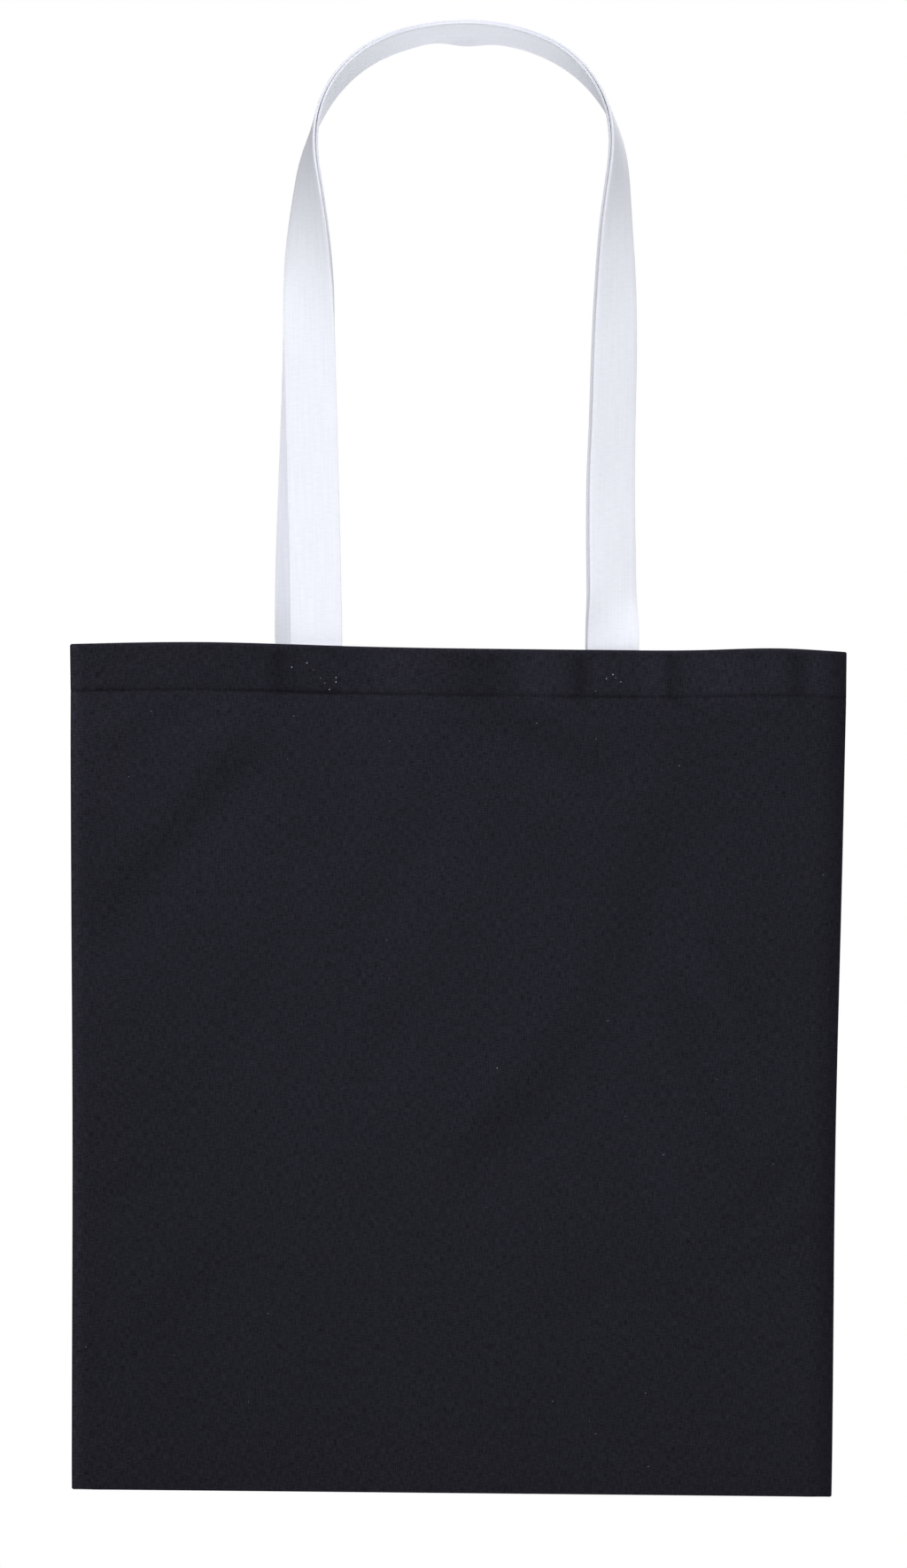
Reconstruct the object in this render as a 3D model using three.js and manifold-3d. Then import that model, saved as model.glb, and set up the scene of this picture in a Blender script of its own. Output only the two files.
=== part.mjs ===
// A flat cotton tote bag with two long handles, hanging from the tops of its handles.
// Millimetres, +Z up, the front faces -Y. The origin is the underside of the handles' top.
import * as THREE from 'three';
import { mergeVertices } from 'three/addons/utils/BufferGeometryUtils.js';
import Module from 'manifold-3d';

const wasm = await Module();
wasm.setup();

// the body: one cloth folded at the bottom and sewn up both sides
const mouthWidth = 385;
const baseWidth = 377;
const bodyHeight = 419;
const bodyDepth = 20; // outside, at the middle of the mouth
const cloth = 0.6;
const mouthCentre = -3; // the handles are sewn a little to the right of the middle
const baseCentre = -6.4;
const hangSlope = 0.01; // the body hangs this much lower towards the right
const foldRadius = 2; // outside, at the bottom fold and along the side seams
const lowerRounding = 150; // height over which the two walls close towards the bottom fold

// the hem, turned in twice, and the side seams' allowances inside
const hemHeight = 25;
const hemThickness = 1.1;
const hemGap = 0.3;
const seamAllowance = 10;
const seamSetback = 0.8; // of the allowances from the side edges

// the handles: flat woven straps sewn inside the hem
const strapWidth = 25.5;
const strapThickness = 1.2;
const handleDrop = 306; // from the mouth to the underside of the handles' top
const handleSpacing = 146.4; // between the middles of a handle's two legs
const backLeftShift = 8.8; // the back handle's left leg is sewn this much further out
const shiftHeight = 190; // above the mouth, where that leg is back in line
const pairGap = 1.2; // between the two handles where they lie together
const sewnLength = 24;
const layerGap = 0.15;

// the handles' route: two nearly straight legs and a round top
const legTopHeight = 234;
const legTopHalf = 78;
const shoulderRise = 54; // how far the leg's direction carries into the arch
const crownReach = 41; // how far the level top carries towards the shoulder
const leftTurnStart = 140;
const leftTurnEnd = 290;
const rightTurnStart = 60;
const rightTurnEnd = 300;

// each handle bends over its own edge of the mouth
const rootHeight = 1.5; // where a handle leaves its sewn end, above the mouth
const edgeGap = 0.4; // where one piece of the cloth is drawn apart from the next

// thread
const threadThickness = 0.3;
const threadWidth = 0.6;
const threadGap = 0.1;
const stitchSetback = 2; // of the hem's row of stitches from the hem's lower edge
const boxWidth = 22; // of the crossed rectangles that hold the handles
const boxHeight = 20.4;
const boxSetback = 0.8; // above the hem's row of stitches
const overlockDepth = 1.4;

const wallColumns = 25;
const wallRows = 15;
const strapSteps = 64;
const strapColumns = 4;

const navy = 0x25242c;
const navyThread = 0x1d1c24;
const white = 0xeceef4;

function finish(color, roughness) {
  return new THREE.MeshStandardMaterial({ color, roughness, metalness: 0 });
}

function mesh(name, geometry, color, roughness = 0.9) {
  const piece = new THREE.Mesh(geometry, finish(color, roughness));
  piece.name = name;
  return piece;
}

// moves every vertex of a geometry to the place that the function gives
function shaped(geometry, place) {
  const position = geometry.getAttribute('position');
  const vertex = new THREE.Vector3();
  for (let i = 0; i < position.count; i += 1) {
    vertex.fromBufferAttribute(position, i);
    const moved = place(vertex);
    position.setXYZ(i, moved.x, moved.y, moved.z);
  }
  geometry.computeVertexNormals();
  return geometry;
}

function bodyCentre(drop) {
  return THREE.MathUtils.lerp(mouthCentre, baseCentre, drop / bodyHeight);
}

function bodyHalfWidth(drop) {
  return THREE.MathUtils.lerp(mouthWidth, baseWidth, drop / bodyHeight) / 2;
}

function sideEdge(hand, drop) {
  return bodyCentre(drop) + hand * bodyHalfWidth(drop);
}

// the cloth's outer face, measured out from the bag's middle plane
function halfDepth(x, drop) {
  const across = (x - bodyCentre(drop)) / bodyHalfWidth(drop);
  const up = THREE.MathUtils.clamp((bodyHeight - foldRadius - drop) / lowerRounding, 0, 1);
  const belly = (1 - across ** 4) * (1 - (1 - up) ** 2.5);
  return foldRadius + (bodyDepth / 2 - foldRadius) * belly;
}

function hungPoint(x, y, drop) {
  return new THREE.Vector3(x, y, -drop - hangSlope * x);
}

// a layer that follows the front (side -1) or back (side 1) wall between two insets from its outer face
function wallLayer({ side, span, top, bottom, outer, inner, columns, rows = 1 }) {
  return shaped(new THREE.BoxGeometry(1, 1, 1, columns, 1, rows), (v) => {
    const drop = THREE.MathUtils.lerp(bottom, top, v.z + 0.5);
    const [left, right] = span(drop);
    const x = THREE.MathUtils.lerp(left, right, v.x + 0.5);
    const inset = v.y * side > 0 ? outer : inner;
    return hungPoint(x, side * (halfDepth(x, drop) - inset), drop);
  });
}

function insideSeams(setback) {
  return (drop) => [sideEdge(-1, drop) + setback, sideEdge(1, drop) - setback];
}

function panel(side) {
  return wallLayer({
    side,
    span: insideSeams(0),
    top: 0,
    bottom: bodyHeight - foldRadius - edgeGap,
    outer: 0,
    inner: cloth,
    columns: wallColumns,
    rows: wallRows,
  });
}

function hem(side) {
  return wallLayer({
    side,
    span: insideSeams(seamSetback + seamAllowance + 1.2),
    top: 0,
    bottom: hemHeight,
    outer: cloth + hemGap,
    inner: cloth + hemGap + hemThickness,
    columns: wallColumns,
  });
}

const stitchDrop = hemHeight - stitchSetback;

function hemStitching(side) {
  return wallLayer({
    side,
    span: insideSeams(1),
    top: stitchDrop - threadWidth / 2,
    bottom: stitchDrop + threadWidth / 2,
    outer: -threadGap - threadThickness,
    inner: -threadGap,
    columns: wallColumns,
  });
}

function bottomFold() {
  const section = new THREE.Shape();
  section.absarc(0, 0, foldRadius, Math.PI, 2 * Math.PI, false);
  section.absarc(0, 0, foldRadius - cloth, 2 * Math.PI, Math.PI, true);
  const drop = bodyHeight - foldRadius;
  const settings = { depth: 1, bevelEnabled: false, curveSegments: 9 };
  return shaped(new THREE.ExtrudeGeometry(section, settings), (v) => {
    const x = THREE.MathUtils.lerp(sideEdge(-1, drop), sideEdge(1, drop), v.z);
    return hungPoint(x, v.x, drop - v.y);
  });
}

// a strip inside a side seam, between two distances in from the side edge
function seamStrip(hand, near, far, thickness) {
  const bottom = bodyHeight - foldRadius - edgeGap;
  return shaped(new THREE.BoxGeometry(1, 1, 1), (v) => {
    const drop = THREE.MathUtils.lerp(bottom, edgeGap, v.z + 0.5);
    const inward = THREE.MathUtils.lerp(far, near, v.x * hand + 0.5);
    return hungPoint(sideEdge(hand, drop) - hand * inward, v.y * thickness, drop);
  });
}

// where a handle's leg is sewn: hand -1 is the left leg, 1 the right
function legX(side, hand) {
  const shift = side > 0 && hand < 0 ? backLeftShift : 0;
  return hand * (handleSpacing / 2 + shift);
}

const sewnInset = cloth + hemGap + hemThickness + layerGap;

function sewnEnd(side, hand) {
  const middle = legX(side, hand);
  return wallLayer({
    side,
    span: () => [middle - strapWidth / 2, middle + strapWidth / 2],
    top: 0,
    bottom: sewnLength,
    outer: sewnInset,
    inner: sewnInset + strapThickness,
    columns: 2,
  });
}

function solid(geometry) {
  const bare = new THREE.BufferGeometry();
  bare.setAttribute('position', geometry.getAttribute('position'));
  bare.setIndex(geometry.getIndex());
  const merged = mergeVertices(bare);
  return new wasm.Manifold(new wasm.Mesh({
    numProp: 3,
    vertProperties: Float32Array.from(merged.getAttribute('position').array),
    triVerts: Uint32Array.from(merged.getIndex().array),
  }));
}

function geometryOf(manifold) {
  const { vertProperties, triVerts } = manifold.getMesh();
  const geometry = new THREE.BufferGeometry();
  geometry.setAttribute('position', new THREE.BufferAttribute(vertProperties, 3));
  geometry.setIndex(new THREE.BufferAttribute(triVerts, 1));
  return geometry;
}

// a bar of thread in the wall's plane, from one point to another
function threadBar(from, to, side) {
  const run = new THREE.Vector2(to[0] - from[0], to[1] - from[1]);
  const bar = new THREE.BoxGeometry(run.length() + threadWidth, threadThickness, threadWidth);
  bar.rotateY(-run.angle());
  const middle = [(from[0] + to[0]) / 2, (from[1] + to[1]) / 2];
  bar.translate(middle[0], (side * threadThickness) / 2, middle[1]);
  return solid(bar);
}

// the thread that holds a sewn end: a rectangle crossed corner to corner
function boxStitching(side, hand) {
  const w = boxWidth / 2;
  const h = boxHeight / 2;
  const corners = [[-w, -h], [w, -h], [w, h], [-w, h]];
  let thread = threadBar(corners[0], corners[2], side).add(threadBar(corners[1], corners[3], side));
  corners.forEach((corner, i) => {
    thread = thread.add(threadBar(corner, corners[(i + 1) % corners.length], side));
  });
  const middle = stitchDrop - boxSetback - boxHeight / 2;
  return shaped(geometryOf(thread), (v) => {
    const x = legX(side, hand) + v.x;
    const drop = middle - v.z;
    return hungPoint(x, side * (halfDepth(x, drop) + layerGap) + v.y, drop);
  });
}

// the middle line of the two handles together, from the left leg's root to the right one's
function handleRoute() {
  const top = handleDrop + strapThickness + pairGap / 2;
  const rootHalf = handleSpacing / 2;
  const point = (hand, half, height) => new THREE.Vector3(hand * half, 0, height);
  const leg = (hand) => [
    point(hand, rootHalf, rootHeight),
    point(hand, rootHalf + 1, legTopHeight / 3),
    point(hand, legTopHalf, (legTopHeight * 2) / 3),
    point(hand, legTopHalf, legTopHeight),
  ];
  const shoulder = (hand) => [
    point(hand, legTopHalf, legTopHeight),
    point(hand, legTopHalf, legTopHeight + shoulderRise),
    point(hand, crownReach, top),
    point(hand, 0, top),
  ];
  const route = new THREE.CurvePath();
  route.add(new THREE.CubicBezierCurve3(...leg(-1)));
  route.add(new THREE.CubicBezierCurve3(...shoulder(-1)));
  route.add(new THREE.CubicBezierCurve3(...shoulder(1).reverse()));
  route.add(new THREE.CubicBezierCurve3(...leg(1).reverse()));
  return route;
}

// a strap that stands flat over the mouth and turns its front face outwards towards the top
function handle(side) {
  const route = handleRoute();
  const apart = (pairGap + strapThickness) / 2;
  const seat = halfDepth(legX(side, 1), 0) - sewnInset - strapThickness / 2;
  const strap = new THREE.BoxGeometry(strapWidth, strapThickness, 1, strapColumns, 1, strapSteps);
  return shaped(strap, (v) => {
    const along = v.z + 0.5;
    const point = route.getPoint(along);
    const tangent = route.getTangent(along);
    const onLeft = point.x < 0;
    const turnStart = onLeft ? leftTurnStart : rightTurnStart;
    const turnEnd = onLeft ? leftTurnEnd : rightTurnEnd;
    const turn = (Math.PI / 2) * THREE.MathUtils.smoothstep(point.z, turnStart, turnEnd);
    const outward = new THREE.Vector3(-tangent.z, 0, tangent.x);
    const face = new THREE.Vector3(0, -Math.cos(turn), 0).addScaledVector(outward, Math.sin(turn));
    const edge = face.clone().cross(tangent);
    const lean = side * (seat - apart) * (1 - point.z / handleDrop);
    const shift = side > 0 && onLeft ? backLeftShift : 0;
    const back = 1 - THREE.MathUtils.smoothstep(point.z, 0, shiftHeight);
    return point
      .add(new THREE.Vector3(-shift * back, lean, 0))
      .addScaledVector(face, -side * apart + v.y)
      .addScaledVector(edge, v.x);
  });
}

const tote = new THREE.Group();
tote.position.z = -handleDrop;

const body = new THREE.Group();
tote.add(body);
body.add(mesh('bottom_fold', bottomFold(), navy));

for (const [sideName, side] of [['front', -1], ['back', 1]]) {
  body.add(mesh(`${sideName}_panel`, panel(side), navy));
  body.add(mesh(`${sideName}_hem`, hem(side), navy));
  body.add(mesh(`${sideName}_hem_stitching`, hemStitching(side), navyThread, 0.7));
  for (const [handName, hand] of [['left', -1], ['right', 1]]) {
    body.add(mesh(`${sideName}_handle_${handName}_end`, sewnEnd(side, hand), white));
    const thread = boxStitching(side, hand);
    body.add(mesh(`${sideName}_${handName}_box_stitching`, thread, navyThread, 0.7));
  }
  tote.add(mesh(`${sideName}_handle`, handle(side), white));
}

for (const [handName, hand] of [['left', -1], ['right', 1]]) {
  const rawEdge = seamSetback + seamAllowance;
  const allowances = seamStrip(hand, seamSetback, rawEdge, 2 * cloth);
  const overlock = seamStrip(hand, rawEdge + threadGap, rawEdge + threadGap + threadWidth, overlockDepth);
  body.add(mesh(`${handName}_side_seam`, allowances, navy));
  body.add(mesh(`${handName}_seam_stitching`, overlock, navyThread, 0.7));
}

export default tote;
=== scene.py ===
import math

import bmesh
import bpy
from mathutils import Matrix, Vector, noise


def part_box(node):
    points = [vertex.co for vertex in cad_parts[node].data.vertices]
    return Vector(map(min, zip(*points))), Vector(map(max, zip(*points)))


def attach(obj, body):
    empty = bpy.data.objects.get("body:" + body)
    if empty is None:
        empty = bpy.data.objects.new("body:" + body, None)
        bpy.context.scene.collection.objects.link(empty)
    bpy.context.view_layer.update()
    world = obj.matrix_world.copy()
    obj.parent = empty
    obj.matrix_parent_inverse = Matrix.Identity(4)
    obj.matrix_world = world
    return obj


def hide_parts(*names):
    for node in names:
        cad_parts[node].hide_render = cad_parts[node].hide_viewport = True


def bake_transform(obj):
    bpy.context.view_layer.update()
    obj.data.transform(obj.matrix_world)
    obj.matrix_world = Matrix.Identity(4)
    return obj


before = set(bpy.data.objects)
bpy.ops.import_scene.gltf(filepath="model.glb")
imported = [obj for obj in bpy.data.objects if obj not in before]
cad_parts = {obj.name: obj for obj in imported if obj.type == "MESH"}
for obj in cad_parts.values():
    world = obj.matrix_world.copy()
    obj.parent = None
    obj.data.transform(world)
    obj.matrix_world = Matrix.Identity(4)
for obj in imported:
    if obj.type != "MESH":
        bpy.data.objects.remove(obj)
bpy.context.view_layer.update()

MM = 0.001

# --- Camera -------------------------------------------------------------------------------
# Square on to the front panel, level, a metre away, with the bag and its handles filling the
# upright frame, which takes in view_height at the bag's middle plane.
root_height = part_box("front_handle")[0].z
mouth_height = root_height - 1.5 * MM
view_distance = 1.0
view_height = 779 * MM
aim_across = -5.5 * MM
aim_below_mouth = 66.5 * MM
aim = Vector((aim_across, 0, mouth_height - aim_below_mouth))

camera = bpy.data.objects.new("camera", bpy.data.cameras.new("camera"))
bpy.context.scene.collection.objects.link(camera)
camera.location = aim + Vector((0, -view_distance, 0))
camera.rotation_euler = (math.radians(90), 0, 0)
camera.data.sensor_fit = "VERTICAL"
camera.data.lens = camera.data.sensor_height * view_distance / view_height
bpy.context.scene.camera = camera

# --- Body cloth ---------------------------------------------------------------------------
# One rectangle of mid-weight plain-weave cotton canvas, piece-dyed near-black navy. It is folded
# in half at the bottom, overlocked up both sides wrong side out, turned, and hemmed round the
# mouth with its raw edge tucked under.
panel_low, panel_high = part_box("front_panel")
fold_low, fold_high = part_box("bottom_fold")
mouth_sides = (panel_low.x, panel_high.x)
base_sides = (fold_low.x, fold_high.x)
half_depth = -panel_low.y
cloth = 0.5 * MM
# the bag hangs a little lower at its right side, and its sides draw in between mouth and bottom
hang_slope = 0.01
body_height = mouth_height - fold_low.z - hang_slope * fold_high.x
drawn_in = {-1: 0.7 * MM, 1: 1.3 * MM}
drawn_in_at = 0.58
drawn_in_reach = 0.2
# the walls stand this far out from the middle at the side seams, and roll in over the last few
# millimetres; they come together over lower_rounding above the bottom fold
seam_depth = 2.6 * MM
mouth_seam_depth = 3.2 * MM
edge_roll = 1.45 * MM
edge_roll_width = 7.5 * MM
fold_radius = 1.3 * MM
lower_rounding = 150 * MM
# the hem, its raw edge's tuck and the side seams' allowance; the insets are the depths of the
# cloth's layers at the mouth, in from the outer face
hem_height = 25 * MM
hem_stitch_drop = 23 * MM
hem_tuck = 8 * MM
allowance = 10 * MM
panel_inset = cloth / 2
tuck_inset = 0.9 * MM
hem_inset = 1.55 * MM
# the handles' sewn ends, with their rectangles of stitches, drops being down from the mouth
strap_width = 25.5 * MM
box_half = 11 * MM
box_top = 1.8 * MM
box_bottom = 22.2 * MM
# where each one is, across from the middle: (front -1 or back 1, left -1 or right 1)
leg_places = {(-1, -1): -73.2 * MM, (-1, 1): 73.2 * MM, (1, -1): -82 * MM, (1, 1): 73.2 * MM}

# the soft folds left from being carried and packed, as (points along the fold, half width,
# height), in millimetres across from the bag's middle and down from its mouth: the cloth stands
# out above each line and falls in below it, or the other way round where the height is negative
front_folds = [
    ([(-198, 156), (-162, 112), (-116, 58)], 11, 1.1),
    ([(96, 88), (80, 136), (58, 182), (34, 216), (20, 232)], 16, 1.0),
    ([(-198, 28), (-176, 22)], 2.5, 0.12),
    ([(-100, 146), (-112, 172), (-130, 214)], 10, 0.45),
    ([(-14, 48), (-30, 88), (-44, 118)], 11, 0.45),
    ([(12, 92), (4, 130)], 6, 0.4),
    ([(-36, 178), (-52, 206)], 8, 0.45),
    ([(118, 156), (136, 190), (140, 228)], 7, -0.55),
    ([(86, 236), (112, 292)], 12, -0.5),
    ([(66, 78), (46, 122)], 9, -0.4),
    ([(4, 214), (-16, 250)], 9, -0.5),
    ([(-62, 50), (-66, 110)], 10, -0.35),
    ([(104, 176), (126, 240)], 8, 0.35),
    ([(150, 258), (122, 294)], 9, 0.4),
    ([(184, 274), (160, 290), (136, 302)], 5.5, 0.5),
    ([(188, 300), (158, 309)], 5, 0.35),
    ([(-196, 278), (-158, 258)], 6, 0.4),
    ([(-196, 362), (-160, 338), (-126, 302)], 11, 0.55),
    ([(-190, 420), (-168, 372)], 16, 0.8),
    ([(-190, 60), (-150, 34)], 8, 0.35),
    ([(20, 36), (60, 52)], 10, 0.35),
    ([(30, 330), (60, 312)], 10, 0.25),
]
back_folds = [
    ([(-160, 240), (-110, 170), (-60, 110)], 15, 1.1),
    ([(20, 96), (60, 160), (96, 214)], 13, -0.9),
    ([(176, 60), (150, 100), (120, 150)], 10, 0.9),
    ([(-60, 330), (0, 318), (60, 296)], 12, 0.6),
    ([(-180, 90), (-140, 60)], 9, 0.7),
    ([(150, 330), (110, 372)], 11, 0.5),
]


def mix(low, high, share):
    """The value a share of the way from low to high."""
    return low + (high - low) * share


def ease(low, high, value):
    """0 below low, 1 above high, and a smooth rise between them."""
    share = min(1, max(0, (value - low) / (high - low)))
    return share * share * (3 - 2 * share)


def bell(distance, width):
    """1 where distance is 0, falling smoothly to nothing over a few widths."""
    return math.exp(-0.5 * (distance / width) ** 2)


def side_edge(hand, drop):
    """The bag's left (hand -1) or right (hand 1) edge, at a drop below the mouth."""
    share = drop / body_height
    straight = mix(mouth_sides[hand > 0], base_sides[hand > 0], share)
    return straight - hand * drawn_in[hand] * bell(share - drawn_in_at, drawn_in_reach)


def wall_depth(x, drop):
    """The wall's outer face, out from the bag's middle plane, before its folds."""
    left, right = side_edge(-1, drop), side_edge(1, drop)
    across = min(1, abs(2 * (x - left) / (right - left) - 1))
    up = min(1, max(0, (body_height - fold_radius - drop) / lower_rounding))
    belly = (1 - across**4) * (1 - (1 - up) ** 2.5)
    edge = mix(mouth_seam_depth, seam_depth, ease(hem_height, 3 * hem_height, drop))
    edge = mix(fold_radius, edge, ease(0, 0.1, up))
    inward = min(1, max(0, min(x - left, right - x) / edge_roll_width))
    roll = edge_roll * (1 - math.sqrt(1 - (1 - inward) ** 2)) * ease(0, 0.1, up)
    return edge + (half_depth - edge) * belly - roll


fold_steepness = 5.2


def fold_profile(place, points, width, height):
    """How far one fold lifts the cloth: out above its line, in below it, and nothing far away."""
    nearest = None
    for start, end in zip(points, points[1:]):
        run = end - start
        share = (place - start).dot(run) / run.length_squared
        inside = start + run * min(1, max(0, share))
        away = place - inside
        below = Vector((-run.y, run.x)).normalized()
        if below.y < 0:
            below = -below
        if nearest is None or away.length < nearest[0]:
            nearest = (away.length, away.dot(below), abs(away.dot(run.normalized())))
    _, off, beyond = nearest
    return -fold_steepness * height * off / width * bell(off, width) * bell(beyond, 1.3 * width)


def ready_folds(listed):
    """The listed folds in metres, apart from their heights."""
    return [
        ([Vector(point) * MM for point in points], width * MM, height)
        for points, width, height in listed
    ]


folds = {-1: ready_folds(front_folds), 1: ready_folds(back_folds)}


seam_pucker = 0.4


def fold_lift(side, x, drop):
    """The folds, the broad, small and fine waves of loose cloth, and the puckers along its seams."""
    place = Vector((x, drop))
    lift = sum(fold_profile(place, *fold) for fold in folds[side])
    lift += 0.9 * noise.noise(Vector((x / 0.085, side * 3.7, drop / 0.11)))
    lift += 0.32 * noise.noise(Vector((x / 0.026 + drop / 0.05, side * 9.1, drop / 0.04)))
    lift += 0.05 * noise.noise(Vector((x / 0.011, side * 5.3, drop / 0.014)))
    inward = min(x - side_edge(-1, drop), side_edge(1, drop) - x)
    free = ease(0, 22 * MM, inward) * ease(0, 50 * MM, body_height - drop)
    pucker = noise.noise(Vector((side * 2.1, x / 0.02, drop / 0.012)))
    pucker = seam_pucker * bell(inward - 7 * MM, 5 * MM) * pucker
    return (lift * free + pucker) * MM


# the hem's own waves: (across from the middle, half width, height), in millimetres
hem_waves = {
    -1: [
        (-92, 3.0, -1.9), (-36, 9, 1.2), (8, 11, -1.3), (36, 8, 1.4), (56.5, 2.6, -2.0), (62, 3.5, 0.8),
        (93, 4, 1.1), (102, 2.6, -1.5), (124, 11, 1.2), (152, 4.5, 1.0), (164, 3.2, -1.4), (174, 4, 0.9),
    ],
    1: [
        (-100, 4, -1.5), (-60, 8, 0.9), (-20, 13, 1.3), (30, 10, -1.2), (57, 3, -1.6), (92, 4, -1.2),
        (140, 12, 1),
    ],
}


def hem_wave(side, x, drop):
    """How far the stiff hem's puckers stand out or fall in, between the mouth and its stitching."""
    waves = sum(height * bell(x - place * MM, width * MM) for place, width, height in hem_waves[side])
    return waves * ease(0, 8 * MM, drop) * (1 - ease(0.8 * hem_height, 1.4 * hem_height, drop))


# the stitches' grooves, how deep they bite, how much the handles' ends stand out, in millimetres,
# and the hem's lean at its left and right ends
groove_half = 0.7 * MM
box_groove_half = 0.5 * MM
box_groove_share = 0.65
groove_depth = 0.42
gather_height = 0.3
strap_stands_out = 0.55
hem_lean = (-0.13, 0.09)


def stitched_in(side, x, drop):
    """1 along the hem's stitched line and round the handles' stitched ends, and 0 away from them."""
    line = bell(drop - hem_stitch_drop, groove_half)
    for hand in (-1, 1):
        beside = abs(x - leg_places[side, hand])
        from_box = max(beside - box_half, box_top - drop, drop - box_bottom)
        line = max(line, box_groove_share * bell(from_box, box_groove_half))
    return line


def painted_relief(side, x, drop):
    """Painted light and shade: the hem's pucker ridges are painted paler and its dips darker, and painted
    shade darkens the stitched lines.
    """
    stitch_shade = 0.65 + 0.5 * noise.noise(Vector((x / 0.018, side * 6.3, 0)))
    return 0.32 * hem_wave(side, x, drop) - stitch_shade * stitched_in(side, x, drop)


def hem_lift(side, x, drop):
    """The stiff hem leans and waves, its stitched line bites in, and the handles' ends stand out."""
    off = drop - hem_stitch_drop
    lean = mix(*hem_lean, ease(-110 * MM, 120 * MM, -side * x))
    swing = (min(drop, hem_stitch_drop) - hem_stitch_drop / 2) / MM
    swing = swing * (1 - ease(hem_stitch_drop, 60 * MM, drop))
    gather = noise.noise(Vector((x / 0.0075, side * 4.4, 0.5)))
    lift = lean * swing + hem_wave(side, x, drop)
    gathered = gather_height * gather * math.exp(-abs(off) / (5 * MM))
    lift += gathered - groove_depth * stitched_in(side, x, drop)
    for hand in (-1, 1):
        beside = x - leg_places[side, hand]
        half = strap_width / 2
        over = 1 - ease(half - 0.6 * MM, half + 1.4 * MM, abs(beside))
        under = 1 - ease(hem_stitch_drop - 1 * MM, hem_stitch_drop + 1.5 * MM, drop)
        lift += strap_stands_out * over * under
    return lift * MM


mouth_lift = 1.9


def mouth_rise(x, drop):
    """The handles draw the mouth's edge up a little outside their legs."""
    rise = mouth_lift * bell(x + 130 * MM, 45 * MM) + mouth_lift * bell(x - 155 * MM, 24 * MM)
    return rise * MM * (1 - ease(0, 80 * MM, drop))


def cloth_point(side, x, drop, outward=0.0):
    """A point on the front (side -1) or back (side 1) wall, outward from its outer face."""
    depth = wall_depth(x, drop) + fold_lift(side, x, drop) + hem_lift(side, x, drop) + outward
    height = mouth_height - drop - hang_slope * x + mouth_rise(x, drop)
    return Vector((x, side * depth, height))


def stops(start, end, step, close):
    """Places from start to end a step apart, and closer round each (place, reach, fine step)."""
    places = [start]
    while places[-1] < end - 0.6 * step:
        here = places[-1]
        steps = [mix(fine, step, ease(0.4 * reach, reach, abs(here - place))) for place, reach, fine in close]
        places.append(here + min(steps))
    return [place for place in places if place < end - 0.3 * MM]


turn_steps = 4
hem_steps = 12
brow_steps = 6
wall_step = 6.2 * MM
hem_step = 1.6 * MM
groove_step = 0.45 * MM


def wall_rows():
    """From the tucked raw edge to the bottom fold: (inset from the outer face, drop)."""
    rows = []
    turn_radius = (hem_inset - tuck_inset) / 2
    turn_drop = hem_height - turn_radius
    brow_radius = (hem_inset - panel_inset) / 2
    for step in range(turn_steps):
        rows.append((tuck_inset, mix(hem_height - hem_tuck, turn_drop, step / turn_steps)))
    for step in range(turn_steps):
        angle = math.pi * step / turn_steps
        inset = tuck_inset + turn_radius * (1 - math.cos(angle))
        rows.append((inset, turn_drop + turn_radius * math.sin(angle)))
    for step in range(hem_steps):
        rows.append((hem_inset, mix(turn_drop, brow_radius, step / hem_steps)))
    for step in range(brow_steps):
        angle = math.pi * step / brow_steps
        inset = panel_inset + brow_radius * (1 + math.cos(angle))
        rows.append((inset, brow_radius * (1 - math.sin(angle))))
    hem_middle = hem_height / 2
    close = [(hem_middle, 45 * MM, hem_step), (hem_stitch_drop, 4 * MM, groove_step)]
    for drop in stops(brow_radius, body_height - fold_radius, wall_step, close):
        rows.append((panel_inset, drop))
    return rows


# at each side the cloth turns in on itself and ends in the seam allowance: (inward from the
# side edge, share of the way out from the allowance to the wall)
seam_turn = [
    (0.3 * MM, 0.85), (0.0, 0.45), (0.2 * MM, 0.1), (0.9 * MM, 0), (4 * MM, 0), (7 * MM, 0),
    (allowance, 0),
]
edge_rounding = 0.9 * MM
allowance_depth = 0.3 * MM
across_step = 4.1 * MM
edge_step = 1.6 * MM
strap_edge_step = 0.8 * MM
# hem waves less than this half width, in millimetres, get closer columns
narrow_wave = 6


def cloth_columns():
    """Across the cloth: (hand, inward, share out) at the seams, and (0, share across, 1) between."""
    left, right = mouth_sides
    close = [(left, 10 * MM, edge_step), (right, 10 * MM, edge_step)]
    for leg in sorted(set(leg_places.values())):
        close += [(leg + half * strap_width / 2, 4.5 * MM, strap_edge_step) for half in (-1, 1)]
    for place, width, _ in hem_waves[-1]:
        if width < narrow_wave:
            close.append((place * MM, 2.5 * width * MM, 0.42 * width * MM))
    across = stops(left + edge_rounding, right - edge_rounding, across_step, close)
    across.append(right - edge_rounding)
    span = right - left - 2 * edge_rounding
    columns = [(-1, inward, share) for inward, share in reversed(seam_turn)]
    columns += [(0, (x - left - edge_rounding) / span, 1.0) for x in across]
    return columns + [(1, inward, share) for inward, share in seam_turn]


def placed(side, row, column):
    """The place in space of one corner of the cloth's grid."""
    inset, drop = row
    hand, along, share = column
    deeper = inset - panel_inset
    if hand == 0:
        left = side_edge(-1, drop) + edge_rounding + deeper
        right = side_edge(1, drop) - edge_rounding - deeper
        return cloth_point(side, mix(left, right, along), drop, -inset)
    full = ease(hem_height, hem_height + 8 * MM, drop) if deeper < 1e-6 else 0
    inward = (along if along < edge_rounding else mix(edge_rounding, along, mix(0.1, 1, full))) + deeper
    x = side_edge(hand, drop) - hand * inward
    edge_x = side_edge(hand, drop) - hand * (edge_rounding + deeper)
    point = cloth_point(side, edge_x, drop, -inset)
    point.z += hang_slope * (edge_x - x)
    point.x = x
    out = max(allowance_depth, abs(point.y))
    point.y = side * mix(allowance_depth, out, share)
    return point


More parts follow.
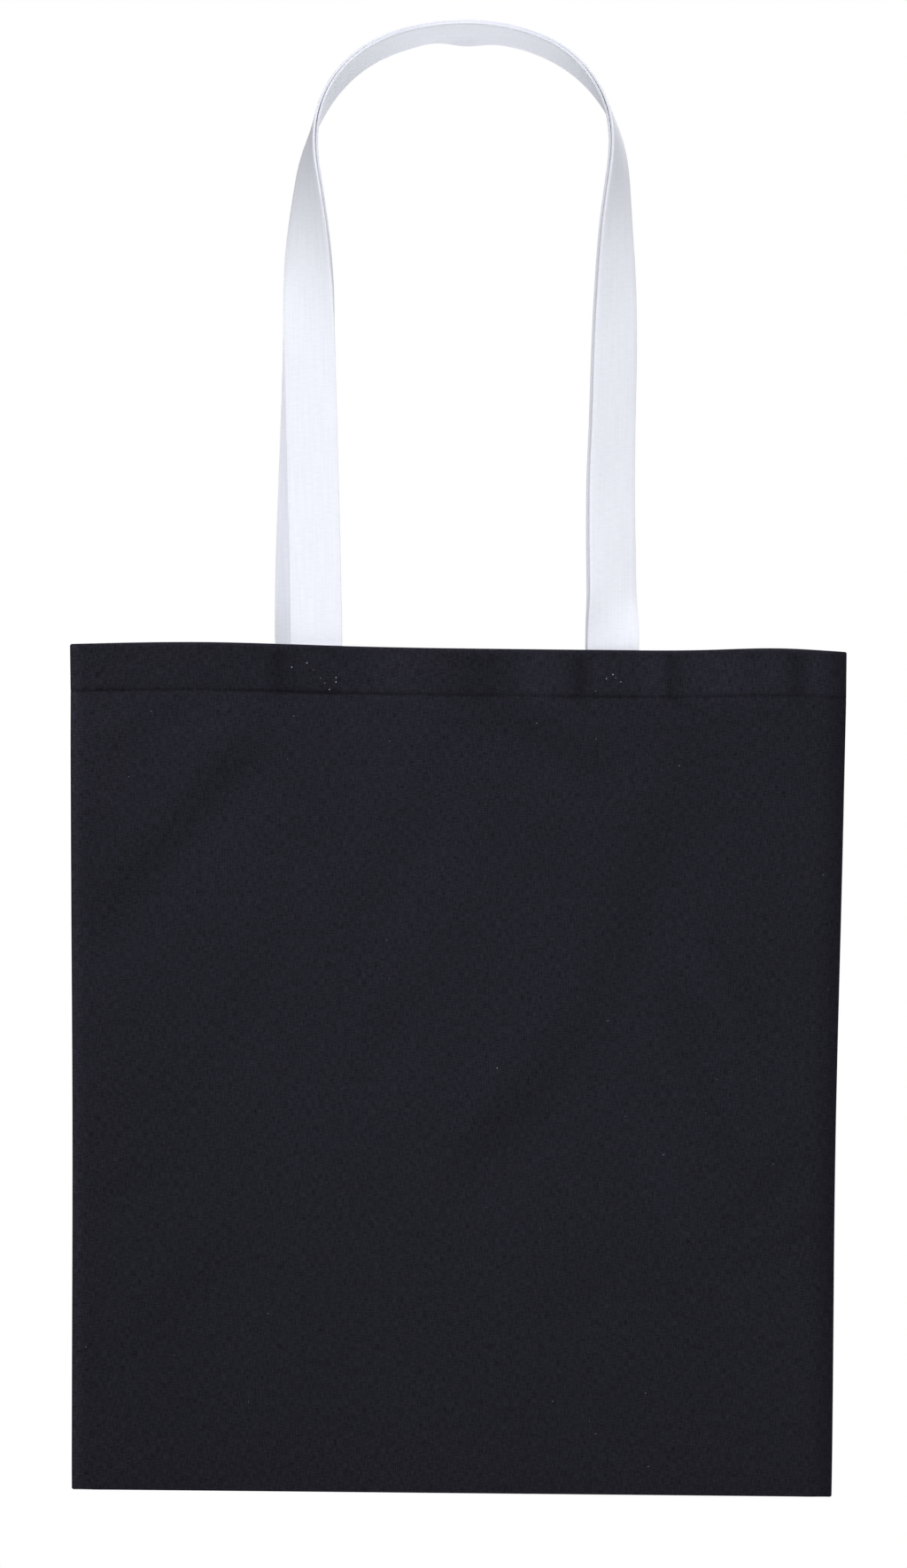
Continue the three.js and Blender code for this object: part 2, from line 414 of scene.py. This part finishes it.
wall = wall_rows()
fold_steps = 6
columns = cloth_columns()
row_count = 2 * len(wall) + fold_steps + 1
body_mesh = bmesh.new()
uv_layer_name = "cloth"
bmesh.ops.create_grid(body_mesh, x_segments=len(columns) - 1, y_segments=row_count - 1, size=1)
bottom_row = (panel_inset, body_height - fold_radius)
# a per-vertex value of painted light and shade, read by the canvas material
painted_shading = body_mesh.verts.layers.float.new("painted_shading")
for vertex in body_mesh.verts:
    column = columns[round((vertex.co.x + 1) / 2 * (len(columns) - 1))]
    number = round((vertex.co.y + 1) / 2 * (row_count - 1))
    if number < len(wall):
        row = wall[number]
        vertex.co = placed(-1, row, column)
    elif number >= row_count - len(wall):
        row = wall[row_count - 1 - number]
        vertex.co = placed(1, row, column)
    else:
        row = bottom_row
        angle = math.pi * (number - len(wall)) / fold_steps
        rim = placed(1, row, column)
        reach = rim.y
        vertex.co = Vector((rim.x, -reach * math.cos(angle), rim.z - reach * math.sin(angle)))
    if row[0] == panel_inset:
        vertex[painted_shading] = painted_relief(math.copysign(1, vertex.co.y), vertex.co.x, row[1])
    # painted light and shade: the left side is painted paler, as if lit from the left, and the right side
    # darker, as if in shade; the mouth's edge is also paler
    vertex[painted_shading] += 0.5 * bell(row[1], 0.8 * MM) + {0: 0, -1: 1, 1: -0.3}[column[0]]
    # painted light and shade: a narrow strip by the left edge is painted paler and a wider strip by the right
    # edge darker
    if column[0] == 0:
        vertex[painted_shading] += 1.1 * bell(column[1], 0.007) - 0.7 * bell(column[1] - 1, 0.014)
uv = body_mesh.loops.layers.uv.new(uv_layer_name)
for face in body_mesh.faces:
    for loop in face.loops:
        place = loop.vert.co
        loop[uv].uv = (place.x, place.z)
    face.smooth = True
bmesh.ops.recalc_face_normals(body_mesh, faces=body_mesh.faces)
# the cloth is an open sheet, so its front wall says which way it has to face
facing_back = sum(
    face.normal.y * face.calc_area() for face in body_mesh.faces
    if face.calc_center_median().y < -4 * MM)
if facing_back > 0:
    bmesh.ops.reverse_faces(body_mesh, faces=body_mesh.faces)


def finished(name, mesh, materials, body="bag"):
    """Makes an object of a finished bmesh. It rides on the body, unless body is None."""
    data = bpy.data.meshes.new(name)
    mesh.to_mesh(data)
    mesh.free()
    for material in materials:
        data.materials.append(material)
    piece = bpy.data.objects.new(name, data)
    bpy.context.scene.collection.objects.link(piece)
    if body:
        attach(piece, body)
    return piece


def thickened(piece, thickness):
    """Gives a sheet its cloth's thickness, half to each side."""
    solidify = piece.modifiers.new("thickness", "SOLIDIFY")
    solidify.thickness = thickness
    solidify.offset = 0
    solidify.use_even_offset = False


def colour(hex_value):
    """An sRGB hex colour as linear red, green, blue and alpha."""
    parts = [int(hex_value[i : i + 2], 16) / 255 for i in (0, 2, 4)]
    linear = [part / 12.92 if part <= 0.04045 else ((part + 0.055) / 1.055) ** 2.4 for part in parts]
    return linear + [1.0]


def add(tree, kind, settings=None, inputs=None):
    """Adds a node. Each input, by name or number, takes a value or another node's output."""
    node = tree.nodes.new(kind)
    for name, value in (settings or {}).items():
        setattr(node, name, value)
    for name, value in (inputs or {}).items():
        if isinstance(value, bpy.types.NodeSocket):
            tree.links.new(value, node.inputs[name])
        else:
            node.inputs[name].default_value = value
    return node


def new_material(name):
    """A new material, its nodes and its shader."""
    material = bpy.data.materials.new(name)
    material.use_nodes = True
    tree = material.node_tree
    return material, tree, tree.nodes["Principled BSDF"]


def streaks(tree, vector, width, length, along_v):
    """Noise drawn out along one set of threads, which are width apart and even for about length."""
    scale = (1 / length, 1 / width, 1) if along_v else (1 / width, 1 / length, 1)
    mapping = add(tree, "ShaderNodeMapping", inputs={"Vector": vector, "Scale": scale})
    inputs = {"Vector": mapping.outputs[0], "Scale": 1, "Detail": 1}
    return add(tree, "ShaderNodeTexNoise", {"noise_dimensions": "2D"}, inputs).outputs[0]


def plain_weave(tree, vector, spacing, uneven):
    """Warp and weft threads passing over and under each other: high where one crosses the other."""
    waves = []
    for direction in ("X", "Y"):
        settings = {"bands_direction": direction}
        inputs = {
            "Vector": vector, "Scale": math.pi / 10 / spacing, "Distortion": uneven, "Detail Scale": 0.4}
        waves.append(add(tree, "ShaderNodeTexWave", settings, inputs).outputs["Fac"])
    over = add(tree, "ShaderNodeMath", {"operation": "SUBTRACT"}, {0: waves[0], 1: waves[1]})
    return add(tree, "ShaderNodeMath", {"operation": "ABSOLUTE"}, {0: over.outputs[0]}).outputs[0]


def dyed_canvas():
    """Piece-dyed cotton canvas: matt and nearly black, with a blue cast and fine uneven threads.
    Real threads are 0.55 mm apart. They are drawn 1 mm apart, so that the weave shows."""
    material, tree, shader = new_material("piece dyed cotton canvas with painted shading")
    spacing = 1.0 * MM
    cloth_uv = add(tree, "ShaderNodeUVMap", {"uv_map": uv_layer_name}).outputs[0]
    warp = streaks(tree, cloth_uv, 0.5 * MM, 4 * MM, False)
    weft = streaks(tree, cloth_uv, 0.5 * MM, 3 * MM, True)
    threads = add(tree, "ShaderNodeMath", {"operation": "ADD"}, {0: warp, 1: weft})
    weave = plain_weave(tree, cloth_uv, spacing, 1.0)
    yarns = add(tree, "ShaderNodeMath", {"operation": "MULTIPLY_ADD"}, {
        0: weave, 1: 0.8, 2: threads.outputs[0]})
    tone = add(tree, "ShaderNodeMapRange", None, {
        "Value": yarns.outputs[0], "From Min": 0.85, "From Max": 1.85})
    dye = add(tree, "ShaderNodeMix", {"data_type": "RGBA"}, {
        "Factor": tone.outputs[0], 6: colour("0e0e12"), 7: colour("2b2a34")})
    patchy = add(tree, "ShaderNodeTexNoise", None, {"Vector": cloth_uv, "Scale": 16, "Detail": 3})
    fade = add(tree, "ShaderNodeMapRange", None, {
        "Value": patchy.outputs[0], "From Min": 0.35, "From Max": 0.65, "To Min": 0.97, "To Max": 1.03})
    uneven = add(tree, "ShaderNodeVectorMath", {"operation": "SCALE"}, {
        0: dye.outputs[2], "Scale": fade.outputs[0]})
    # painted light and shade: the per-vertex attribute brightens or darkens the dyed colour, paler on ridges
    # and the left side, darker in stitched lines and on the right side
    shading_attribute = add(tree, "ShaderNodeAttribute", {"attribute_name": "painted_shading"})
    shading_scale = add(tree, "ShaderNodeMapRange", None, {
        "Value": shading_attribute.outputs["Fac"], "From Min": -1, "To Min": 0.55, "To Max": 1.45})
    shaded_colour = add(tree, "ShaderNodeVectorMath", {"operation": "SCALE"}, {
        0: uneven.outputs[0], "Scale": shading_scale.outputs[0]})
    tree.links.new(shaded_colour.outputs[0], shader.inputs["Base Color"])
    bump = add(tree, "ShaderNodeBump", None, {
        "Height": yarns.outputs[0], "Strength": 0.5, "Distance": 0.1 * MM})
    tree.links.new(bump.outputs[0], shader.inputs["Normal"])
    rough = add(tree, "ShaderNodeMapRange", None, {
        "Value": tone.outputs[0], "To Min": 0.98, "To Max": 0.86})
    tree.links.new(rough.outputs[0], shader.inputs["Roughness"])
    shader.inputs["IOR"].default_value = 1.45
    shader.inputs["Specular IOR Level"].default_value = 0.08
    shader.inputs["Sheen Weight"].default_value = 0.02
    shader.inputs["Sheen Roughness"].default_value = 0.45
    shader.inputs["Sheen Tint"].default_value = colour("8a8ab0")
    return material


canvas = dyed_canvas()
body_cloth = finished("body_cloth", body_mesh, [canvas])
thickened(body_cloth, cloth)
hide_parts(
    "front_panel", "back_panel", "bottom_fold", "front_hem", "back_hem",
    "left_side_seam", "right_side_seam")

# --- Handles ------------------------------------------------------------------------------
# Two lengths of bleached white cotton webbing, 25.5 mm wide and woven to width, so their edges
# are plain selvedges. Each is sewn flat inside the hem, stands up, and turns its front face
# outwards as the two run together round the top.
strap_thickness = 1.3 * MM
strap_spacing = 0.06 * MM
under_strap_forward = 0.7 * MM
selvedge_radius = 0.35 * MM
sewn_length = 24 * MM
sewn_inset = 2.75 * MM
station_step = 3 * MM
sewn_steps = 9
# at the top, each strap's rear edge is creased down at one place and lifted a little at another:
# how far, and (across from the middle, half width, share of that)
crown_pinch = 2.0 * MM
crown_creases = [(1.5 * MM, 7 * MM, 1), (-17 * MM, 6 * MM, -0.35)]
ripple_height = 0.3 * MM
curl_height = 0.2 * MM
handle_drop = -mouth_height
crown_height = handle_drop + strap_thickness + strap_spacing / 2
leg_top_height = 234 * MM
leg_top_half = 78 * MM
shoulder_rise = 54 * MM
crown_reach = 41 * MM
# the strap turns to face outwards as it rises: (degrees, from, to) in millimetres above the mouth
turns = {-1: [(90, 140, 290)], 1: [(22, 0, 30), (8, 40, 140), (60, 140, 315)]}
# the right leg leans in between these heights above the mouth, and the back strap's left leg, which
# is sewn further out than the front one's, comes in behind it by shift_height
right_leg_inward = 2.4 * MM
right_leg_lean = (0, 90 * MM)
right_leg_return = (205 * MM, 275 * MM)
shift_height = 190 * MM


def bezier(points, share):
    """A point on the smooth curve that four points set out."""
    a, b, c, d = points
    rest = 1 - share
    return a * rest**3 + b * (3 * rest**2 * share) + c * (3 * rest * share**2) + d * share**3


def handle_route():
    """The middle line of both handles, above the mouth, from the left root to the right one."""
    steps = 64
    root_half = leg_places[-1, 1]
    root = root_height - mouth_height
    leg = [
        Vector((-root_half, root)), Vector((-root_half - 1 * MM, leg_top_height / 3)),
        Vector((-leg_top_half, leg_top_height * 2 / 3)), Vector((-leg_top_half, leg_top_height))]
    shoulder = [
        Vector((-leg_top_half, leg_top_height)), Vector((-leg_top_half, leg_top_height + shoulder_rise)),
        Vector((-crown_reach, crown_height)), Vector((0, crown_height))]
    left = [bezier(leg, i / steps) for i in range(steps)]
    left += [bezier(shoulder, i / steps) for i in range(steps)]
    right = [Vector((-point.x, point.y)) for point in reversed(left)]
    return left + [Vector((0, crown_height))] + right


def evenly(points, spacing):
    """The same line with its points a set distance apart."""
    lengths = [0]
    for start, end in zip(points, points[1:]):
        lengths.append(lengths[-1] + (end - start).length)
    count = round(lengths[-1] / spacing)
    line, at = [], 0
    for step in range(count + 1):
        target = lengths[-1] * step / count
        while at < len(points) - 2 and lengths[at + 1] < target:
            at += 1
        share = (target - lengths[at]) / (lengths[at + 1] - lengths[at])
        line.append(points[at].lerp(points[at + 1], share))
    return line, lengths[-1]


def strap_stations(side):
    """Along a strap: (its middle, the way that it faces, its edge's direction); and its length."""
    line, length = evenly(handle_route(), station_step)
    apart = (strap_spacing + strap_thickness) / 2
    seat = wall_depth(leg_places[side, 1], 0) - sewn_inset
    stations = []
    for number, point in enumerate(line):
        before, after = line[max(0, number - 1)], line[min(len(line) - 1, number + 1)]
        run = (after - before).normalized()
        hand = -1 if point.x < 0 else 1
        turn = sum(
            math.radians(angle) * ease(low * MM, high * MM, point.y) for angle, low, high in turns[hand])
        face = Vector((-run.y * math.sin(turn), -math.cos(turn), run.x * math.sin(turn)))
        edge = face.cross(Vector((run.x, 0, run.y)))
        lean = side * (seat - apart) * max(0, 1 - point.y / handle_drop)
        shift = leg_places[side, -1] - leg_places[-1, -1] if hand < 0 else 0
        shift *= 1 - ease(0, shift_height, point.y)
        if hand > 0:
            leaning = right_leg_inward * ease(*right_leg_lean, point.y)
            shift -= leaning * (1 - ease(*right_leg_return, point.y))
        middle = Vector((point.x + shift, lean, mouth_height + point.y)) - side * apart * face
        if side > 0:
            middle.y -= under_strap_forward * ease(leg_top_height * 0.6, handle_drop, point.y)
        stations.append((middle, face, edge))
    for hand in (-1, 1):
        x = leg_places[side, hand]
        end = []
        for step in range(sewn_steps):
            drop = sewn_length * (1 - step / sewn_steps)
            middle = cloth_point(side, x, drop, -sewn_inset)
            end.append((middle, Vector((0, -1, 0)), Vector((hand, 0, 0))))
        stations = end + stations if hand < 0 else stations + list(reversed(end))
    return stations, length + 2 * sewn_length


def strap_piece(name, side, material):
    """One strap, whole from sewn end to sewn end, which bends where it leaves the mouth."""
    stations, length = strap_stations(side)
    across = 10
    mesh = bmesh.new()
    bmesh.ops.create_grid(mesh, x_segments=across, y_segments=len(stations) - 1, size=1)
    uv = mesh.loops.layers.uv.new(uv_layer_name)
    places = {}
    for vertex in mesh.verts:
        number = round((vertex.co.y + 1) / 2 * (len(stations) - 1))
        side_share = vertex.co.x
        places[vertex] = (side_share * strap_width / 2, length * number / (len(stations) - 1))
        middle, facing, edge = stations[number]
        ripple = ripple_height * noise.noise(Vector((side_share * 0.7, number * 0.09, 3)))
        curl = curl_height * side_share**2
        vertex.co = middle + edge * places[vertex][0] + facing * (ripple - curl)
        far_edge = max(0, edge.y * side_share)
        pinch = sum(share * bell(middle.x - place, half) for place, half, share in crown_creases)
        if middle.z > root_height + 0.8 * handle_drop:
            vertex.co.z -= crown_pinch * far_edge**2 * pinch
    for face in mesh.faces:
        face.smooth = True
        for loop in face.loops:
            loop[uv].uv = places[loop.vert]
    bmesh.ops.recalc_face_normals(mesh, faces=mesh.faces)
    strap = finished(name, mesh, [material], None)
    thickened(strap, strap_thickness)
    bevel = strap.modifiers.new("soft selvedges", "BEVEL")
    bevel.width = selvedge_radius
    bevel.segments = 2
    bevel.angle_limit = math.radians(50)
    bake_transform(strap)
    side_name = "front" if side < 0 else "back"
    nodes = [f"{side_name}_handle", f"{side_name}_handle_left_end", f"{side_name}_handle_right_end"]
    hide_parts(*nodes)


def bleached_webbing():
    """Bleached cotton webbing: bright matt white with a fine close weave and a faint blue cast.
    Real threads are 0.4 mm apart. They are drawn 0.9 mm apart, so that the weave shows."""
    material, tree, shader = new_material("bleached cotton webbing")
    spacing = 0.9 * MM
    strap_uv = add(tree, "ShaderNodeUVMap", {"uv_map": uv_layer_name}).outputs[0]
    warp = streaks(tree, strap_uv, 0.8 * MM, 30 * MM, False)
    weft = streaks(tree, strap_uv, 0.7 * MM, 5 * MM, True)
    threads = add(tree, "ShaderNodeMath", {"operation": "ADD"}, {0: warp, 1: weft})
    weave = plain_weave(tree, strap_uv, spacing, 0.6)
    yarns = add(tree, "ShaderNodeMath", {"operation": "MULTIPLY_ADD"}, {
        0: weave, 1: 0.3, 2: threads.outputs[0]})
    tone = add(tree, "ShaderNodeMapRange", None, {
        "Value": yarns.outputs[0], "From Min": 0.6, "From Max": 1.7})
    yarn = add(tree, "ShaderNodeMix", {"data_type": "RGBA"}, {
        "Factor": tone.outputs[0], 6: colour("dfe1ea"), 7: colour("eaecf4")})
    tree.links.new(yarn.outputs[2], shader.inputs["Base Color"])
    bump = add(tree, "ShaderNodeBump", None, {
        "Height": yarns.outputs[0], "Strength": 0.06, "Distance": 0.08 * MM})
    tree.links.new(bump.outputs[0], shader.inputs["Normal"])
    rough = add(tree, "ShaderNodeMapRange", None, {"Value": tone.outputs[0], "To Min": 0.92, "To Max": 0.8})
    tree.links.new(rough.outputs[0], shader.inputs["Roughness"])
    shader.inputs["IOR"].default_value = 1.45
    shader.inputs["Specular IOR Level"].default_value = 0.25
    shader.inputs["Sheen Weight"].default_value = 0.03
    shader.inputs["Sheen Roughness"].default_value = 0.5
    return material


webbing = bleached_webbing()
strap_piece("front_strap", -1, webbing)
strap_piece("back_strap", 1, webbing)

# --- Hem stitching ------------------------------------------------------------------------
# One row of lockstitch in navy core-spun thread, 3 mm a stitch, all round the mouth just above
# the hem's turned edge. Each stitch is a short grain of thread pulled into the cloth.
stitch_pitch = 3.0 * MM
stitch_length = 2.4 * MM
thread_radius = 0.22 * MM


def add_stitch(mesh, middle, run):
    """One stitch: a grain of thread along run."""
    turn = Vector((0, 0, 1)).rotation_difference(run).to_matrix().to_4x4()
    made = bmesh.ops.create_uvsphere(mesh, u_segments=6, v_segments=5, radius=1)
    size = (thread_radius, thread_radius, stitch_length / 2)
    bmesh.ops.scale(mesh, vec=size, verts=made["verts"])
    bmesh.ops.transform(mesh, matrix=turn, verts=made["verts"])
    bmesh.ops.translate(mesh, vec=middle, verts=made["verts"])


def stitch_row(mesh, side, start, end, outward):
    """Stitches along a line on a wall, from and to (x, drop)."""
    start, end = Vector(start), Vector(end)
    count = max(1, round((end - start).length / stitch_pitch))
    step = (end - start) / count
    for number in range(count):
        place = start + step * (number + 0.5)
        wander = 0.15 * MM * noise.noise(Vector((place.x / 0.004, place.y / 0.004, side)))
        middle = cloth_point(side, place.x, place.y + wander, outward)
        ahead = cloth_point(side, place.x + step.x * 0.1, place.y + step.y * 0.1 + 2 * wander, outward)
        behind = cloth_point(side, place.x - step.x * 0.1, place.y - step.y * 0.1, outward)
        add_stitch(mesh, middle, ahead - behind)


def core_spun_thread():
    """Navy core-spun sewing thread: finer and a little smoother than the cloth that it holds."""
    material, tree, shader = new_material("navy core spun thread")
    where = add(tree, "ShaderNodeTexCoord").outputs["Object"]
    twist = add(tree, "ShaderNodeTexWave", {"bands_direction": "DIAGONAL"}, {
        "Vector": where, "Scale": 600, "Distortion": 1})
    tone = add(tree, "ShaderNodeMix", {"data_type": "RGBA"}, {
        "Factor": twist.outputs["Fac"], 6: colour("0e0d11"), 7: colour("19181e")})
    tree.links.new(tone.outputs[2], shader.inputs["Base Color"])
    bump = add(tree, "ShaderNodeBump", None, {
        "Height": twist.outputs["Fac"], "Strength": 0.4, "Distance": 0.05 * MM})
    tree.links.new(bump.outputs[0], shader.inputs["Normal"])
    shader.inputs["Roughness"].default_value = 0.9
    shader.inputs["Specular IOR Level"].default_value = 0.15
    return material


navy_thread = core_spun_thread()
inner_face = -hem_inset - cloth / 2
for side, side_name in ((-1, "front"), (1, "back")):
    mesh = bmesh.new()
    for outward, margin in ((-0.06 * MM, 1.5 * MM), (inner_face - 0.02 * MM, 4 * MM)):
        left = side_edge(-1, hem_stitch_drop) + margin
        right = side_edge(1, hem_stitch_drop) - margin
        stitch_row(mesh, side, (left, hem_stitch_drop), (right, hem_stitch_drop), outward)
    row = finished(f"{side_name}_hem_thread", mesh, [navy_thread])
    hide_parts(f"{side_name}_hem_stitching")

# --- Handle stitching ---------------------------------------------------------------------
# Each sewn end is held by a rectangle of stitches crossed corner to corner, through the strap
# and all the hem. The needle has drawn a few white strap fibres out to the front.
fibre_radius = 0.25 * MM
large_tufts = 5
# where they show on the rectangle: (half widths across from its middle, share of the way down)
fibre_places = {
    -1: [
        (-1.08, 0.45), (-0.4, 0.34), (0.6, 0.95), (0.9, 0.66), (0.9, 0.77), (-0.1, 0.5), (0.2, 0.68),
        (0.4, 0.8),
    ],
    1: [(-0.32, 0.6), (-0.03, 0.5), (0.32, 0.67), (0.98, 0.2), (0.98, 0.42), (-0.8, 0.9), (0.1, 0.58)],
}


def add_fluff(mesh, middle, radius, seed):
    """A tiny tangle of fibre, flattened against the cloth."""
    made = bmesh.ops.create_icosphere(mesh, subdivisions=1, radius=radius)
    for vertex in made["verts"]:
        vertex.co *= 1 + 0.5 * noise.noise(vertex.co / radius * 1.3 + Vector((seed, 0, 0)))
    bmesh.ops.scale(mesh, vec=(1, 0.5, 1.1), verts=made["verts"])
    bmesh.ops.translate(mesh, vec=middle, verts=made["verts"])


def loose_cotton():
    """Stray white cotton fibre: matt and a little greyed, so it reads as soft pale dots."""
    material, tree, shader = new_material("loose cotton fibre")
    where = add(tree, "ShaderNodeTexCoord").outputs["Object"]
    clump = add(tree, "ShaderNodeTexNoise", None, {"Vector": where, "Scale": 2500})
    tone = add(tree, "ShaderNodeMix", {"data_type": "RGBA"}, {
        "Factor": clump.outputs[0], 6: colour("8f8fa6"), 7: colour("d9dae8")})
    tree.links.new(tone.outputs[2], shader.inputs["Base Color"])
    shader.inputs["Roughness"].default_value = 1.0
    return material


fluff = loose_cotton()
for (side, hand), x in leg_places.items():
    place = ("front" if side < 0 else "back") + ("_left" if hand < 0 else "_right")
    mesh = bmesh.new()
    corners = [
        (x - box_half, box_top), (x + box_half, box_top),
        (x + box_half, box_bottom), (x - box_half, box_bottom)]
    lines = [(corners[i], corners[(i + 1) % 4]) for i in range(4)]
    lines += [(corners[0], corners[2]), (corners[1], corners[3])]
    for start, end in lines:
        stitch_row(mesh, side, start, end, -0.04 * MM)
        stitch_row(mesh, side, start, end, -sewn_inset - strap_thickness / 2 - 0.05 * MM)
    box = finished(f"{place}_box_thread", mesh, [navy_thread])
    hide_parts(f"{place}_box_stitching")
    mesh = bmesh.new()
    for number, (across, down) in enumerate(fibre_places[hand]):
        drop = mix(box_top, box_bottom, down)
        size = fibre_radius * (1 if number < large_tufts else 0.6)
        add_fluff(mesh, cloth_point(side, x + across * box_half, drop, 0.1 * MM), size, number)
    fibres = finished(f"{place}_drawn_fibres", mesh, [fluff])

# --- Side seam overlock -------------------------------------------------------------------
# Inside the bag, each side's two raw edges are bound together by overlock thread, which runs
# round and round the allowance from the mouth to the bottom fold.
overlock_pitch = 2.6 * MM
overlock_top = 12 * MM
overlock_bottom = body_height - 5 * MM
overlock_reach = 4 * MM
overlock_half = 0.75 * MM
overlock_past_edge = 0.25 * MM
overlock_thread_radius = 0.16 * MM
loops = round((overlock_bottom - overlock_top) / overlock_pitch)
for hand, hand_name in ((-1, "left"), (1, "right")):
    curve = bpy.data.curves.new(f"{hand_name}_overlock", "CURVE")
    curve.dimensions = "3D"
    curve.bevel_depth = overlock_thread_radius
    curve.bevel_resolution = 1
    spline = curve.splines.new("POLY")
    spline.points.add(loops * 4)
    for number in range(loops * 4 + 1):
        drop = overlock_top + overlock_pitch * number / 4
        inward, deep = [
            (allowance + overlock_past_edge, 0), (allowance - overlock_reach, overlock_half),
            (allowance + overlock_past_edge, 0), (allowance - overlock_reach, -overlock_half)][number % 4]
        x = side_edge(hand, drop) - hand * inward
        spline.points[number].co = (x, deep, mouth_height - drop - hang_slope * x, 1)
    holder = bpy.data.objects.new("overlock_line", curve)
    mesh = bmesh.new()
    mesh.from_mesh(holder.to_mesh())
    bmesh.ops.holes_fill(mesh, edges=mesh.edges, sides=12)
    holder.to_mesh_clear()
    bpy.data.objects.remove(holder)
    overlock = finished(f"{hand_name}_overlock", mesh, [navy_thread])
    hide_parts(f"{hand_name}_seam_stitching")

# --- Lint ---------------------------------------------------------------------------------
# Dark cotton shows every speck: a scatter of pale lint clings to both panels.
lint_count = 70
mesh = bmesh.new()
for number in range(lint_count):
    across, down, side_pick = (noise.cell(Vector((number * 1.7, axis * 3.1, 5.5))) for axis in range(3))
    side = -1 if side_pick < 0 else 1
    drop = mix(30 * MM, body_height - 8 * MM, abs(down) % 1)
    x = mix(side_edge(-1, drop) + 4 * MM, side_edge(1, drop) - 4 * MM, abs(across) % 1)
    size = mix(0.1, 0.19, abs(noise.cell(Vector((number, 8.2, 1)))) ** 2) * MM
    add_fluff(mesh, cloth_point(side, x, drop, 0.08 * MM), size, number)
lint = finished("lint", mesh, [fluff])

# --- Stage --------------------------------------------------------------------------------
# A plain white studio with white all round and a round pale floor well below the hanging bag. The
# key light is broad and soft, from the upper left in front, and a narrow spot from further left
# brightens the front panel's upper middle and shows its folds. A weaker light fills in from the
# upper right, and one as strong as the key lights the back. Of the two low lights, a small one
# lifts the back from below, and a wide one lights the floor alone.
floor_height = -1.75
floor_radius = 2.4
floor_mesh = bmesh.new()
bmesh.ops.create_circle(floor_mesh, cap_ends=True, segments=96, radius=floor_radius)
bmesh.ops.translate(floor_mesh, vec=(0, 0, floor_height), verts=floor_mesh.verts)
floor_paint, _, floor_shader = new_material("matt white paint")
floor_shader.inputs["Base Color"].default_value = colour("f6f6f6")
floor_shader.inputs["Roughness"].default_value = 0.9
floor = finished("floor", floor_mesh, [floor_paint], None)


def hang_light(name, lamp, place, target):
    """Puts up a lamp that isn't seen itself, and points it at the target."""
    light = bpy.data.objects.new(name, lamp)
    light.location = place
    light.rotation_euler = (Vector(target) - Vector(place)).to_track_quat("-Z", "Y").to_euler()
    light.visible_camera = False
    bpy.context.scene.collection.objects.link(light)


def soft_light(name, place, target, size, power):
    """A square soft light."""
    lamp = bpy.data.lights.new(name, "AREA")
    lamp.size = size
    lamp.energy = power
    hang_light(name, lamp, place, target)


soft_light("key", (-0.45, -2.0, 1.35), (0, 0, 0), 1.1, 43.5)
soft_light("fill", (1.5, -1.2, 1.1), (0, 0, 0), 1.2, 22)
soft_light("back_light", (0.7, 1.9, 1.4), (0, 0, 0), 1.0, 44)
soft_light("floor_bounce", (0, 0.8, -1.2), (0, 0, 0), 0.6, 8)
soft_light("floor_wash", (0, 0.3, -0.85), (0, 0.3, -1.7), 3.2, 12)
spot = bpy.data.lights.new("centre_spot", "SPOT")
spot.energy = 94
spot.spot_size = math.radians(14.5)
spot.spot_blend = 1.0
spot.shadow_soft_size = 0.25
hang_light("centre_spot", spot, (-0.95, -1.3, 0.85), (-0.045, 0, -0.42))

# the white that is seen is brighter than the ambient light it gives, so the straps don't bleach
seen_white = 1.0
ambient_white = 0.2
world = bpy.data.worlds.new("white studio")
bpy.context.scene.world = world
world.use_nodes = True
seen = world.node_tree.nodes["Background"]
seen.inputs["Color"].default_value = (1, 1, 1, 1)
seen.inputs["Strength"].default_value = seen_white
ambient = add(world.node_tree, "ShaderNodeBackground", None, {
    "Color": (1, 1, 1, 1), "Strength": ambient_white})
ray = add(world.node_tree, "ShaderNodeLightPath").outputs["Is Camera Ray"]
room = add(world.node_tree, "ShaderNodeMixShader", None, {0: ray, 1: ambient.outputs[0], 2: seen.outputs[0]})
world.node_tree.links.new(room.outputs[0], world.node_tree.nodes["World Output"].inputs["Surface"])
bpy.context.scene.view_settings.view_transform = "Standard"

# --- Update -------------------------------------------------------------------------------
# Brings every object's placement up to date.
bpy.context.view_layer.update()
